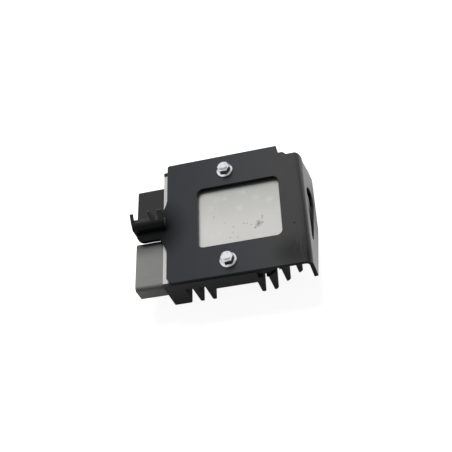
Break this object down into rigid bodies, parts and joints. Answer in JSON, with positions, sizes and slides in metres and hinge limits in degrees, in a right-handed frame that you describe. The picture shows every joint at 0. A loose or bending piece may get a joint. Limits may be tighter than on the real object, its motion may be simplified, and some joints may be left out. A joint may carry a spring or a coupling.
{
  "type": "voltage regulator rectifier",
  "caption": "Finned die-cast voltage regulator rectifier potted in grey resin, with side sockets and a bolted folded-steel bracket that carries a wire guide.",
  "frame": {"origin": "on the plane of the fin tips, under the middle of the whole length and width", "axes": "+X from the sockets to the bracket's flange, +Y along the fins, +Z from the fin tips to the bracket"},
  "size_m": [0.1398, 0.1139, 0.0465],
  "materials": {
    "black_casting": "black-coated die casting, satin",
    "grey_resin": "cast potting resin, semi-matte",
    "board_laminate": "green solder mask",
    "chip_plastic": "moulded semiconductor body",
    "capacitor_ceramic": "ceramic body",
    "terminal_metal": "tinned",
    "grey_moulding": "moulded, fine texture",
    "black_moulding": "moulded, fine texture",
    "black_painted_steel": "satin black paint",
    "zinc_steel": "bright zinc plate",
    "clip_moulding": "moulded, smooth"
  },
  "bodies": {
    "root": {"heatsink": "black_casting", "potting_resin": "grey_resin", "circuit_board": "board_laminate", "power_transistor_1": "chip_plastic", "power_transistor_2": "chip_plastic", "power_transistor_3": "chip_plastic", "power_transistor_4": "chip_plastic", "power_transistor_5": "chip_plastic", "power_transistor_6": "chip_plastic", "control_chip": "chip_plastic", "capacitor_1": "capacitor_ceramic", "capacitor_2": "capacitor_ceramic", "grey_connector_shell": "grey_moulding", "grey_blade_1": "terminal_metal", "grey_blade_2": "terminal_metal", "grey_blade_3": "terminal_metal", "black_connector_shell": "black_moulding", "black_blade_1": "terminal_metal", "black_blade_2": "terminal_metal", "black_blade_3": "terminal_metal", "bracket": "black_painted_steel", "flange_bolts": "zinc_steel", "flange_nuts": "zinc_steel", "wire_guide_clip": "clip_moulding"}
  },
  "joints": []
}
